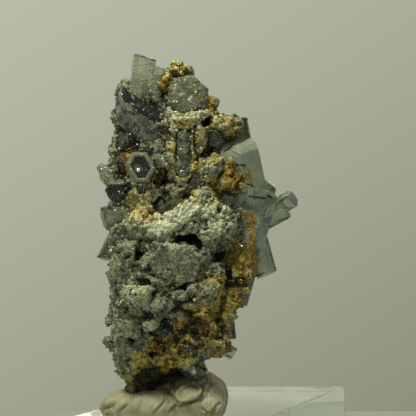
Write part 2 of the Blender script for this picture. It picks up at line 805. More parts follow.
def nodule_templates(chance: np.random.Generator, count: int) -> list[Template]:
    """Knobbly limonite crumbs: a coarse ball pushed out of shape.

    Args:
        chance: The random numbers.
        count: How many different ones.

    Returns:
        The templates.
    """
    made = []
    for _ in range(count):
        start_template(bpy.ops.mesh.primitive_uv_sphere_add, segments=4, ring_count=3, radius=0.58)
        bpy.ops.transform.vertex_random(offset=0.16, seed=int(chance.integers(1, 99)))
        bpy.ops.transform.resize(value=(1.0, chance.uniform(0.7, 1.0), chance.uniform(0.6, 1.0)))
        made.append(take_template())
    return made


def flake_templates(chance: np.random.Generator, count: int) -> list[Template]:
    """Mica flakes: small plates with one side broken off.

    Args:
        chance: The random numbers.
        count: How many different ones.

    Returns:
        The templates.
    """
    made = []
    for _ in range(count):
        start_template(bpy.ops.mesh.primitive_cylinder_add, vertices=4, radius=0.6, depth=0.14)
        angle = chance.uniform(0, math.tau)
        normal = (math.cos(angle), math.sin(angle), chance.uniform(-0.3, 0.3))
        bisect_away((normal[0] * 0.25, normal[1] * 0.25, 0), normal)
        made.append(take_template())
    return made


@dataclass
class GrainBatch:
    """Grains of one kind that are made one mesh: where they sit, their sizes and their shades."""

    sites: Sites
    sizes: np.ndarray
    shares: dict[str, np.ndarray]

    def part(self, keep: np.ndarray) -> "GrainBatch":
        """The grains for which keep is true."""
        shares = {name: values[keep] for name, values in self.shares.items()}
        return GrainBatch(self.sites.kept(keep), self.sizes[keep], shares)


def placed_copies(
    batch: GrainBatch, templates: list[Template], chance: np.random.Generator, sunk: float
) -> tuple[np.ndarray, np.ndarray, np.ndarray]:
    """Turns, stretches and places a copy of a template for each grain.

    Args:
        batch: The grains.
        templates: The shapes to copy.
        chance: The random numbers.
        sunk: How far a grain's middle is sunk in the skin, as a share of its size.

    Returns:
        The vertices' places, the triangles, and the grain that each vertex belongs to.
    """
    count = len(batch.sizes)
    turns = random_turns(count, chance)
    which = chance.integers(0, len(templates), count)
    stretch = chance.uniform(0.7, 1.25, size=(count, 3))
    middles = batch.sites.points - batch.sites.normals * (sunk * batch.sizes)[:, None]
    corners, triangles, owners = [], [], []
    start = 0
    for index, template in enumerate(templates):
        mine = np.flatnonzero(which == index)
        local = template.corners[None] * (stretch[mine] * batch.sizes[mine][:, None])[:, None]
        placed = np.einsum("nij,nvj->nvi", turns[mine], local) + middles[mine][:, None]
        many = len(template.corners)
        offsets = start + np.arange(len(mine)) * many
        corners.append(placed.reshape(-1, 3))
        triangles.append((template.triangles[None] + offsets[:, None, None]).reshape(-1, 3))
        owners.append(np.repeat(mine, many))
        start += len(mine) * many
    return np.concatenate(corners), np.concatenate(triangles), np.concatenate(owners)


def triangle_mesh(name: str, points: np.ndarray, faces: np.ndarray) -> bpy.types.Mesh:
    """Makes a mesh of triangles.

    Args:
        name: The mesh's name.
        points: The vertices, in millimetres from the seat.
        faces: Three vertex numbers to a row.

    Returns:
        The mesh.
    """
    mesh = bpy.data.meshes.new(name)
    mesh.vertices.add(len(points))
    mesh.vertices.foreach_set("co", ((points + SEAT) * MM).ravel())
    mesh.loops.add(len(faces) * 3)
    mesh.loops.foreach_set("vertex_index", faces.ravel().astype(np.int32))
    mesh.polygons.add(len(faces))
    mesh.polygons.foreach_set("loop_start", np.arange(len(faces), dtype=np.int32) * 3)
    mesh.update(calc_edges=True)
    mesh.validate()
    return mesh


def grain_mesh(
    name: str,
    batch: GrainBatch,
    templates: list[Template],
    material: bpy.types.Material,
    chance: np.random.Generator,
    sunk: float = 0.2,
) -> bpy.types.Object:
    """Makes one piece with a turned copy of a template for each grain.

    Args:
        name: The piece's name.
        batch: The grains.
        templates: The shapes to copy.
        material: The finish.
        chance: The random numbers.
        sunk: How far a grain's middle is sunk in the skin, as a share of its size.

    Returns:
        The piece.
    """
    points, faces, owner = placed_copies(batch, templates, chance, sunk)
    mesh = triangle_mesh(name, points, faces)
    mesh.materials.append(material)
    for share, values in batch.shares.items():
        set_shares(mesh, share, values[owner])
    obj = bpy.data.objects.new(name, mesh)
    bpy.context.scene.collection.objects.link(obj)
    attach(obj, "root")
    LOG.info("%s: %d grains, %d triangles", name, len(batch.sizes), len(faces))
    return obj


def grain_pieces(
    name: str,
    batch: GrainBatch,
    templates: list[Template],
    material: bpy.types.Material,
    chance: np.random.Generator,
    sunk: float = 0.2,
) -> None:
    """Makes as many pieces from the grains, from the foot up, as their triangle limit needs.

    Args:
        name: The pieces' name, before a number.
        batch: The grains.
        templates: The shapes to copy.
        material: The finish.
        chance: The random numbers.
        sunk: How far a grain's middle is sunk in the skin, as a share of its size.
    """
    each = sum(len(template.triangles) for template in templates) / len(templates)
    parts = math.ceil(len(batch.sizes) * each * 1.04 / PIECE_TRIANGLES)
    rank = np.argsort(np.argsort(batch.sites.points[:, 2]))
    for index in range(parts):
        keep = (rank * parts) // len(rank) == index
        piece = grain_mesh(f"{name}_{index + 1}", batch.part(keep), templates, material, chance, sunk)


@dataclass(frozen=True)
class AlbiteFinish:
    """Sugary albite with mica, stained by limonite: dull, pale and uneven, each grain its own shade."""

    grey: str = "#8f907d"
    pale: str = "#dcdcc4"
    straw: str = "#cfc187"
    ochre: str = "#c4a63c"
    brown: str = "#7a621e"
    orange: str = "#b88a26"
    rust: str = "#604610"
    soot: str = "#11100c"
    roughness: float = 0.55
    glint_roughness: float = 0.1
    grain_bump: float = 0.6
    fleck_size: float = 0.38
    mottle_size: float = 2.2
    fleck_swing: tuple = (0.55, 1.35)
    refraction: float = 1.53

    def material(self, name: str) -> bpy.types.Material:
        """Makes the material, which reads the shares rust, ochre, cream, soot, tone and glint.

        Args:
            name: What the real material is.

        Returns:
            The material.
        """
        material, paint = new_material(name)
        place = paint.place()
        read = {key: paint.stored(key) for key in ("rust", "ochre", "cream", "soot", "tone", "glint")}
        fleck = paint.noise(self.fleck_size, place, detail=3.0, roughness=0.6)
        mottle = paint.noise(self.mottle_size, place, detail=3.0)
        base = paint.mix(read["cream"], self.grey, self.pale)
        depth = paint.maths("MULTIPLY_ADD", read["ochre"], 0.55, mottle)
        golden = paint.ramp(depth, (0.6, self.straw), (1.2, self.brown), (0.86, self.ochre))
        dusted = paint.mix(paint.ranged(read["ochre"], (0, 0.6)), base, golden)
        rusty = paint.ramp(mottle, (0.38, self.rust), (0.62, self.orange))
        stained = paint.mix(read["rust"], dusted, rusty)
        dirty = paint.mix(read["soot"], stained, self.soot)
        shade = paint.maths("MULTIPLY_ADD", read["tone"], 0.5, 1.0)
        flecked = paint.ranged(fleck, (0.32, 0.68), self.fleck_swing)
        factor = paint.maths("MULTIPLY", shade, flecked)
        shaded = paint.step("ShaderNodeVectorMath", {"operation": "SCALE"}, {0: dirty, "Scale": factor})
        paint.dress(
            {
                "Base Color": shaded,
                "Roughness": paint.ranged(read["glint"], (0, 1), (self.roughness, self.glint_roughness)),
                "Normal": paint.bump(fleck, self.grain_bump, 0.2),
                "IOR": self.refraction,
            }
        )
        return material


@dataclass(frozen=True)
class LimoniteFinish:
    """Limonite: earthy iron oxide, quite dull, from straw yellow through ochre to dark rust."""

    straw: str = "#d2b24c"
    ochre: str = "#b28c22"
    rust: str = "#775410"
    soot: str = "#1f1a14"
    patch_size: float = 1.6
    own_shade: float = 0.16

    def material(self, name: str) -> bpy.types.Material:
        """Makes the material, which reads the shares tone and soot.

        Args:
            name: What the real material is.

        Returns:
            The material.
        """
        material, paint = new_material(name)
        place = paint.place()
        tone = paint.stored("tone")
        soot = paint.stored("soot")
        patch = paint.noise(self.patch_size, place, detail=4.0, roughness=0.65)
        shifted = paint.maths("MULTIPLY_ADD", tone, self.own_shade, patch)
        earthy = paint.ramp(shifted, (0.28, self.rust), (0.68, self.straw), (0.48, self.ochre))
        paint.dress({"Base Color": paint.mix(soot, earthy, self.soot), "Roughness": 0.85, "IOR": 1.5})
        return material


@dataclass(frozen=True)
class MicaFinish:
    """Dark mica and manganese specks: near black, with shiny flat faces."""

    colour: str = "#25262a"
    paler: str = "#5a5a52"
    roughness: float = 0.22

    def material(self, name: str) -> bpy.types.Material:
        """Makes the material, which reads the share tone.

        Args:
            name: What the real material is.

        Returns:
            The material.
        """
        material, paint = new_material(name)
        colour = paint.ramp(paint.stored("tone"), (0.5, self.colour), (1.0, self.paler))
        paint.dress({"Base Color": colour, "Roughness": self.roughness, "IOR": 1.6})
        return material


@dataclass(frozen=True)
class BerylFinish:
    """Aquamarine: see-through beryl with a glassy skin, hazed by what it holds."""

    name: str
    tint: str
    transmission: float
    roughness: float
    absorbed: str
    density: float
    cloud: str = "#dfe2d6"
    cloud_share: float = 0.4
    streak_size: tuple = (0.45, 0.45, 5.0)
    haze_size: float = 2.4
    haze_roughness: float = 0.18
    refraction: float = 1.575

    def material(self) -> bpy.types.Material:
        """Makes the material, which reads the vector growth: a place with the crystal's axis as Z.

        Returns:
            The material.
        """
        material, paint = new_material(self.name)
        growth = paint.stored("growth", "Vector")
        scale = tuple(1 / (size * MM) for size in self.streak_size)
        streaked = paint.step("ShaderNodeMapping", {}, {"Scale": scale, "Vector": growth})
        fine = {"Scale": 1.0, "Detail": 2.0, "Vector": streaked}
        streak = paint.step("ShaderNodeTexNoise", {}, fine, "Fac")
        haze = paint.noise(self.haze_size, growth, detail=5.0, roughness=0.65, swirl=0.6)
        share = paint.ranged(haze, (0.42, 0.72), (0, self.cloud_share))
        rough = paint.ranged(haze, (0.35, 0.7), (self.roughness, self.roughness + self.haze_roughness))
        paint.dress(
            {
                "Base Color": paint.mix(share, self.tint, self.cloud),
                "Roughness": rough,
                "Normal": paint.bump(streak, 0.3, 0.05),
                "IOR": self.refraction,
                "Transmission Weight": self.transmission,
            }
        )
        paint.absorb(self.absorbed, self.density)
        return material


class Clarity(Enum):
    """The finishes that the crystals come in."""

    HAZY = BerylFinish("hazy_beryl", "#dde1cf", 0.75, 0.06, "#a9b6a0", 38.0, "#f0f1e4", 0.9)
    PALE = BerylFinish("milky_beryl", "#858a72", 0.6, 0.22, "#879a7c", 70.0, "#e6e6d2", 1.0)
    SLATE = BerylFinish("slate_beryl", "#636963", 0.55, 0.08, "#6f7972", 120.0, "#e9ebe1", 1.0)
    CLEAR = BerylFinish("clear_beryl", "#e8ece0", 0.96, 0.02, "#a9b8a5", 35.0, "#f0f1e8", 0.2)
    TEAL = BerylFinish("teal_beryl", "#b4c2b4", 0.78, 0.05, "#8ba296", 55.0, "#f0f4ea", 0.8)
    SMOKY = BerylFinish("smoky_beryl", "#8b9180", 0.82, 0.06, "#6a7565", 150.0, "#b8bba9", 0.3)
    MILKY = BerylFinish("clouded_beryl", "#c9d3c4", 0.6, 0.42, "#a8b5a7", 34.0, "#eceee2", 0.8)
    OLIVE = BerylFinish("olive_beryl", "#a6b09e", 0.72, 0.06, "#8b9887", 65.0, "#f0f3e6", 0.9)
    DEEP = BerylFinish("deep_beryl", "#b4baa9", 0.95, 0.03, "#5a6457", 380.0, "#dfe1d5", 0.6)
    DARK = BerylFinish("dark_beryl", "#202427", 0.35, 0.08, "#2f363b", 300.0, "#5f6462", 0.45)


@dataclass(frozen=True)
class Prism:
    """A crystal to dress: its node, free end, axis, radius and length, its clarity and its details.

    Steps are growth bands, specks are dusty grains on a square millimetre, and veils are flakes inside.
    Its free end is sunk by rim, round which it has the rim finish. Its faces are broken up by ragged, and
    its edges rounded by edge, which have their own finish if that is given. Faces that look the second
    way, or lie below a height if that is given, have the second finish. It is thicker by the share swell.
    """

    node: str
    tip: tuple
    axis: tuple
    radius: float
    length: float
    clarity: Clarity
    steps: int = 0
    specks: float = 0.0
    veils: int = 0
    rim: float = 0.0
    ragged: float = 0.0
    edge: float = 0.12
    rim_finish: Clarity | None = None
    second: Clarity | None = None
    second_way: tuple = (0, 0, 1)
    second_below: float | None = None
    edge_finish: Clarity | None = None
    swell: float = 0.0


PRISMS = (
    Prism("top_left_prism", (-4.6, -4.4, 85.2), (0.12, -0.06, 0.99), 3.0, 15, Clarity.HAZY, 5, 1.2, 420),
    Prism(
        "top_stub", (5.8, -9.2, 75.8), (0.1, -0.95, 0.28), 5.0, 11, Clarity.PALE,
        steps=2, specks=2.4, veils=160, ragged=0.22, edge=0.4,
    ),
    Prism(
        "slate_prism", (-10.6, -7.4, 73.4), (-0.8, -0.1, 0.59), 4.0, 16, Clarity.SLATE,
        steps=3, specks=5.0, veils=120, ragged=0.24, second=Clarity.DARK, second_way=(0.2, -0.3, 0.93),
    ),
    Prism(
        "shaded_prism", (-9.4, -6.8, 65.6), (-0.78, -0.5, 0.38), 3.1, 9, Clarity.DARK,
        steps=2, specks=2.4, veils=60, ragged=0.2,
    ),
    Prism(
        "hexagon_pair", (-5.3, -13.4, 58.7), (-0.1, -0.99, 0.08), 3.25, 9, Clarity.DEEP,
        specks=0.3, veils=40, rim=0.5, rim_finish=Clarity.HAZY, swell=0.14,
    ),
    Prism(
        "left_glassy_pair", (-15, -4.2, 57.4), (-0.9, -0.34, 0.26), 2.7, 9, Clarity.HAZY,
        steps=2, specks=3.0, veils=120, ragged=0.3, second=Clarity.DARK, second_below=54.8,
    ),
    Prism(
        "left_lying_prism", (-14.2, -6.4, 46.6), (-0.93, -0.27, -0.25), 2.8, 12, Clarity.PALE,
        steps=3, specks=0.8, veils=70, edge=0.2, second=Clarity.DARK, edge_finish=Clarity.HAZY,
    ),
    Prism("left_fang", (-12.9, -4.0, 37.4), (-0.42, -0.14, -0.9), 2.8, 8, Clarity.SMOKY, 1, 0.5, 50),
    Prism("shoulder_prism", (16.9, 2.0, 70.9), (-0.19, -0.04, 0.98), 3.1, 12, Clarity.SMOKY, 2, 0.4, 60),
    Prism(
        "pale_dome", (17.3, -5.6, 64.8), (-0.22, -0.22, 0.95), 5.0, 15, Clarity.MILKY,
        specks=0.1, veils=120, edge=1.6,
    ),
    Prism(
        "right_group", (22.4, -4.0, 54.6), (0.27, -0.04, 0.96), 4.85, 28, Clarity.OLIVE,
        steps=2, specks=0.4, veils=200, edge=0.22,
        second=Clarity.TEAL, second_way=(0.96, -0.1, -0.27), edge_finish=Clarity.HAZY,
    ),
    Prism("corner_bud", (16.4, -3.6, 15.0), (0.84, -0.12, -0.52), 1.7, 6, Clarity.HAZY, 0, 0.6, 20),
    Prism("edge_sliver", (15.4, -1.6, 18.4), (0.1, -0.1, -0.98), 1.5, 7.5, Clarity.SMOKY, 0, 0.4, 20),
    Prism("foot_glassy", (8.8, -4.2, 9.9), (0.42, -0.3, -0.85), 2.3, 8, Clarity.CLEAR, 1, 3.4, 60),
    Prism(
        "rib_prism", (4.6, -11.0, 67.2), (0, -0.05, 0.99), 1.8, 10.5, Clarity.SLATE,
        steps=3, specks=2.0, veils=30, ragged=0.25,
    ),
    Prism(
        "recess_hexagon", (12.0, -9.4, 65.4), (0.28, -0.92, 0.18), 2.4, 7, Clarity.SMOKY,
        steps=1, specks=2.4, veils=30, ragged=0.2,
    ),
    Prism(
        "dark_window", (0.3, -13.0, 21.8), (0.55, -0.8, -0.16), 2.3, 7, Clarity.DARK,
        steps=1, specks=0.5, veils=20, ragged=0.4,
    ),
    Prism(
        "low_window", (5.2, -12.0, 16.3), (-0.42, -0.84, -0.34), 1.9, 7, Clarity.DEEP,
        specks=2.2, veils=20, ragged=0.4,
    ),
    Prism(
        "wall_hexagon", (7.8, -12.7, 55.4), (0.15, -0.95, 0.15), 1.9, 7, Clarity.SMOKY,
        steps=1, specks=3.0, veils=30, ragged=0.3,
    ),
    Prism("lined_prism", (15.6, -10.6, 51.6), (0.4, -0.7, 0.59), 1.9, 8, Clarity.SMOKY, 3, 0.6, 30),
    Prism("back_top", (4.6, 9.6, 79.6), (0.2, 0.55, 0.81), 3.0, 11, Clarity.HAZY, 2, 0.6, 60),
    Prism("back_tall", (-4.6, 16.0, 67.4), (-0.16, 0.72, 0.67), 4.2, 13, Clarity.TEAL, 3, 0.6, 90),
    Prism("back_shoulder", (10.4, 15.4, 61.0), (0.34, 0.82, 0.46), 3.5, 11, Clarity.HAZY, 2, 0.6, 80),
    Prism("back_middle", (2.6, 17.6, 45.6), (0.05, 0.98, -0.18), 4.4, 12, Clarity.PALE, 2, 0.4, 90),
    Prism("back_left", (-10.4, 14.4, 48.4), (-0.45, 0.87, 0.14), 3.4, 11, Clarity.SMOKY, 2, 0.6, 70),
    Prism("back_right", (15.4, 12.4, 33.0), (0.58, 0.78, -0.26), 3.2, 11, Clarity.TEAL, 2, 0.4, 60),
    Prism("back_foot", (7.6, 13.6, 24.6), (0.2, 0.92, -0.34), 2.8, 9, Clarity.CLEAR, 1, 0.6, 40),
)


@dataclass
class Beryl:
    """The crystals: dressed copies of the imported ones, with growth steps and bevels."""

    rim_width: float = 0.3
    plateau_inset: float = 0.3
    plateau_rise: float = 0.05
    step_width: float = 0.14
    step_depth: float = 0.07
    step_slack: float = 0.02
    plateau_area: float = 7.0
    ragged_grid: float = 0.22
    ragged_layers: tuple = (Layer(1.0, 1.9, 30), Layer(0.5, 0.9, 31))
    flat_angle: float = 1.5
    edge_angle: float = 22
    bright_edge_angle: float = 32
    smooth_angle: float = 28
    rim_facing: float = 0.95
    edge_slot: int = 2
    seed: int = 11

    def build(self) -> list[bpy.types.Object]:
        """Dresses every crystal.

        Returns:
            The crystals.
        """
        self.finishes = {clarity: clarity.value.material() for clarity in Clarity}
        made = [self.dress(prism, index) for index, prism in enumerate(PRISMS)]
        LOG.info("crystals: %d", len(made))
        return made

    def dress(self, prism: Prism, index: int) -> bpy.types.Object:
        """Makes one crystal.

        Args:
            prism: Which one.
            index: Its place in the list, for its random numbers.

        Returns:
            The crystal.
        """
        chance = np.random.default_rng(self.seed + index)
        obj = copy_of_node(prism.node, f"{prism.node}_dressed")
        if prism.swell:
            self.thicken(obj, prism)
        edit_all(obj)
        bpy.ops.mesh.dissolve_limited(angle_limit=math.radians(self.flat_angle))
        self.raise_plateaus(obj, prism, chance)
        self.cut_steps(obj, prism, chance)
        bpy.ops.object.mode_set(mode="OBJECT")
        inner = prism.second or prism.rim_finish or prism.clarity
        for clarity in (prism.clarity, inner, prism.edge_finish or prism.clarity):
            obj.data.materials.append(self.finishes[clarity])
        apply_modifier(
            obj,
            "BEVEL",
            width=prism.edge * MM,
            segments=2,
            limit_method="ANGLE",
            angle_limit=math.radians(self.bright_edge_angle if prism.edge_finish else self.edge_angle),
            material=self.edge_slot if prism.edge_finish else -1,
        )
        if prism.ragged:
            self.break_faces(obj, prism)
        self.store_growth(obj, prism)
        self.finish_faces(obj, prism)
        activate(obj)
        bpy.ops.object.shade_smooth_by_angle(angle=math.radians(self.smooth_angle))
        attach(obj, "root")
        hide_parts(prism.node)
        return obj

    def finish_faces(self, obj: bpy.types.Object, prism: Prism) -> None:
        """Gives the crystal's other finish to the faces that look the second way, lie low or make the rim.

        Args:
            obj: The crystal.
            prism: Which faces those are.
        """
        if prism.second:
            way = Vector(prism.second_way).normalized()
            for face in obj.data.polygons:
                if face.material_index == self.edge_slot:
                    continue
                low = prism.second_below is not None and face.center.z / MM - SEAT[2] < prism.second_below
                looking = prism.second_below is None and face.normal.dot(way) > SECOND_FACING
                face.material_index = int(low or looking)
        if prism.rim_finish:
            axis = Vector(prism.axis).normalized()
            tip = Vector(prism.tip) + Vector(SEAT)
            for face in obj.data.polygons:
                depth = (tip - face.center / MM).dot(axis)
                face.material_index = int(-0.5 < depth < prism.rim * 0.9)

    def thicken(self, obj: bpy.types.Object, prism: Prism) -> None:
        """Moves the sides of the prism away from its axis, so that its edge stands clear of the grains.

        Args:
            obj: The crystal.
            prism: Its axis, its radius and how much thicker it gets.
        """
        axis = np.array(Vector(prism.axis).normalized())
        places = vertex_places(obj)
        offset = places - np.array(prism.tip)
        out = offset - (offset @ axis)[:, None] * axis
        mine = np.linalg.norm(out, axis=1) < 1.1 * prism.radius
        move_vertices(obj, places + out * (prism.swell * mine)[:, None])

    def break_faces(self, obj: bpy.types.Object, prism: Prism) -> None:
        """Breaks the faces up into small tilted ones.

        Args:
            obj: The crystal.
            prism: How ragged it is.
        """
        apply_modifier(obj, "REMESH", mode="VOXEL", voxel_size=self.ragged_grid * MM)
        places = vertex_places(obj)
        rise = sum(layer.broken(places) for layer in self.ragged_layers)
        move_vertices(obj, places + vertex_normals(obj) * (prism.ragged * (rise - 0.5))[:, None])

    def raise_plateaus(self, obj: bpy.types.Object, prism: Prism, chance: np.random.Generator) -> None:
        """Sinks the free end inside its rim, and raises a growth plateau on each large face, in edit mode.

        Args:
            obj: The crystal.
            prism: Its axis and rim.
            chance: The random numbers.
        """
        axis = Vector(prism.axis).normalized()
        bpy.ops.mesh.select_mode(type="FACE")
        bpy.ops.mesh.select_all(action="DESELECT")
        bm = bmesh.from_edit_mesh(obj.data)
        for face in bm.faces:
            face.select = bool(prism.rim) and face.normal.dot(axis) > self.rim_facing
        bmesh.update_edit_mesh(obj.data)
        if prism.rim:
            bpy.ops.mesh.inset(thickness=self.rim_width * MM, depth=0, use_individual=True)
            bpy.ops.mesh.inset(thickness=0.3 * MM, depth=-prism.rim * MM, use_individual=True)
            bpy.ops.mesh.select_all(action="DESELECT")
        bm = bmesh.from_edit_mesh(obj.data)
        for face in bm.faces:
            large = face.calc_area() > self.plateau_area * MM * MM and len(face.verts) < 9
            face.select = large and not (prism.rim and face.normal.dot(axis) > self.rim_facing)
        bmesh.update_edit_mesh(obj.data)
        inset = self.plateau_inset * chance.uniform(0.8, 1.4) * MM
        bpy.ops.mesh.inset(thickness=inset, depth=0, use_individual=True)
        bpy.ops.mesh.inset(thickness=0.08 * MM, depth=self.plateau_rise * MM, use_individual=True)

    def cut_steps(self, obj: bpy.types.Object, prism: Prism, chance: np.random.Generator) -> None:
        """Cuts shallow bands round the prism, as its growth steps are, in edit mode.

        Args:
            obj: The crystal.
            prism: Its axis and length.
            chance: The random numbers.
        """
        if not prism.steps:
            return
        axis = Vector(prism.axis).normalized()
        tip = Vector(prism.tip) + Vector(SEAT)
        lows = sorted(chance.uniform(0.8, prism.length * 0.8, prism.steps))
        bands = [(low, low + chance.uniform(0.35, 0.9)) for low in lows]
        for low, high in bands:
            for depth in (low, low + self.step_width, high - self.step_width, high):
                bpy.ops.mesh.select_all(action="SELECT")
                where = (tip - axis * depth) * MM
                bpy.ops.mesh.bisect(plane_co=where, plane_no=axis)
        bm = bmesh.from_edit_mesh(obj.data)
        inset = self.step_width - self.step_slack
        for vert in bm.verts:
            offset = vert.co / MM - tip
            depth = -offset.dot(axis)
            out = offset + axis * depth
            for low, high in bands:
                if low + inset < depth < high - inset:
                    if 0.5 * prism.radius < out.length < 1.3 * prism.radius:
                        vert.co -= out.normalized() * self.step_depth * MM
                    break
        bmesh.update_edit_mesh(obj.data)

    def store_growth(self, obj: bpy.types.Object, prism: Prism) -> None:
        """Stores each vertex's place with the crystal's axis as Z, for the streaks along it.

        Args:
            obj: The crystal.
            prism: Its free end and axis.
        """
        turn = Vector(prism.axis).normalized().to_track_quat("Z", "Y").to_matrix()
        local = (vertex_places(obj) - np.array(prism.tip)) @ np.array(turn) * MM
        layer = obj.data.attributes.new("growth", "FLOAT_VECTOR", "POINT")
        layer.data.foreach_set("vector", local.ravel())


@dataclass
class Veils:
    """What the crystals hold: white flakes of fluid veils."""

    size: tuple = (0.12, 0.5)
    width_share: float = 0.72
    length_share: float = 0.7
    least_depth: float = 0.6
    colour: str = "#e9ebe2"
    seed: int = 5

    def build(self) -> None:
        """Strews the flakes through the crystals."""
        chance = np.random.default_rng(self.seed)
        material, paint = new_material("veil_white")
        paint.dress({"Base Color": srgb(self.colour), "Roughness": 0.6})
        points = []
        for prism in PRISMS:
            turn = Vector(prism.axis).normalized().to_track_quat("Z", "Y").to_matrix()
            angle = chance.uniform(0, math.tau, prism.veils)
            out = np.sqrt(chance.random(prism.veils)) * prism.radius * self.width_share
            depth = chance.uniform(self.least_depth, prism.length * self.length_share, prism.veils)
            local = np.stack((np.cos(angle) * out, np.sin(angle) * out, -depth), axis=1)
            points.append(local @ np.array(turn).T + np.array(prism.tip))
        places = np.concatenate(points)
        sites = Sites(places, np.zeros_like(places), np.zeros(len(places), dtype=int))
        batch = GrainBatch(sites, chance.uniform(*self.size, len(places)) ** 1.3, {})
        piece = grain_mesh("veil_flakes", batch, flake_templates(chance, 2), material, chance)


@dataclass
class Cracks:
    """Dark healed cracks just under the faces of two crystals, each a row of small dark platelets."""

    lines: tuple = (
        ((14.9, 59.7), (18.8, 59.2)),
        ((14.2, 62.6), (16.5, 64.2)),
        ((19.9, 52.1), (23.7, 51.6)),
        ((25.3, 50.6), (25.6, 50.4)),
        ((19.2, 55.0), (20.8, 54.4)),
    )
    spacing: float = 0.16
    wander: float = 0.05
    sizes: tuple = (0.34, 0.62)
    colour: str = "#0c0d0f"
    roughness: float = 0.7
    seed: int = 17

    def build(self, crystals: list[bpy.types.Object]) -> None:
        """Lays the platelets along the lines, on the faces that look at the display side.

        Args:
            crystals: The dressed crystals.
        """
        chance = np.random.default_rng(self.seed)
        surface = surface_of(crystals)
        places = []
        for start, end in self.lines:
            way = np.array(end) - np.array(start)
            count = max(int(np.hypot(*way) / self.spacing), 2)
            for share in np.linspace(0, 1, count):
                x, z = np.array(start) + way * share + chance.normal(0, self.wander, 2)
                found = surface.ray_cast(Vector((x, -60, z)), Vector((0, 1, 0)))[0]
                if found is not None:
                    places.append((found.x, found.y, found.z))
        points = np.array(places)
        normals = np.tile((0.0, -1.0, 0.0), (len(points), 1))
        sites = Sites(points, normals, np.zeros(len(points), dtype=int))
        sizes = chance.uniform(*self.sizes, len(points))
        shares = {"tone": np.zeros(len(points))}
        material = MicaFinish(colour=self.colour, roughness=self.roughness).material("dark_crack")
        batch = GrainBatch(sites, sizes, shares)
        piece = grain_mesh("healed_cracks", batch, nodule_templates(chance, 2), material, chance, 0.0)


